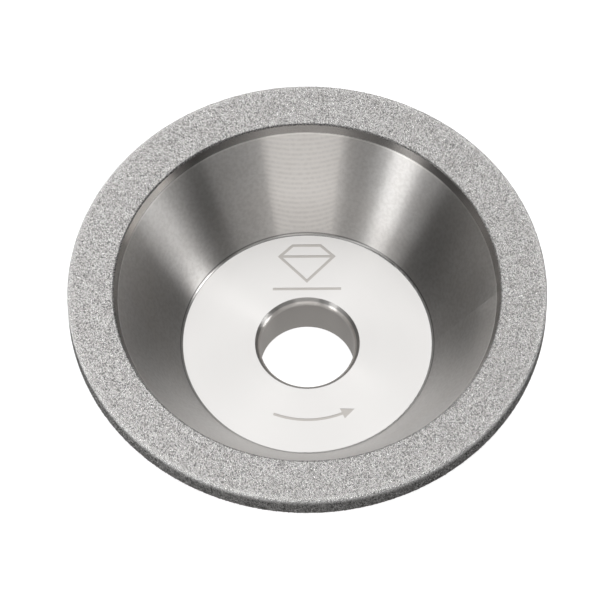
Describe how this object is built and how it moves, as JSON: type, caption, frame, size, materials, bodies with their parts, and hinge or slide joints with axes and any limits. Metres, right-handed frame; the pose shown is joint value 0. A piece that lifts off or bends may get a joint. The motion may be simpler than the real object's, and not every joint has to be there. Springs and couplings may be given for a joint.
{
  "type": "diamond grinding wheel",
  "caption": "Flared cup grinding wheel: turned steel body with a plain bore and a clamping web, its flat rim face and outer edge coated with diamond grit held in nickel plating.",
  "frame": {"origin": "centre of the back face, where the wheel's axis crosses the plane that seats on the spindle flange", "axes": "+Z along the wheel's axis, from the back face towards the grinding face; +Y towards the gem mark on the floor of the cup, +X across it"},
  "size_m": [0.1, 0.1, 0.035],
  "materials": {
    "steel": "bright turned steel with fine concentric tool marks",
    "nickel": "matt electroplated nickel",
    "diamond": "small sharp crystals that sparkle"
  },
  "bodies": {
    "root": {"steel_body": "steel", "nickel_bond": "nickel", "diamond_grit": "diamond"}
  },
  "joints": []
}
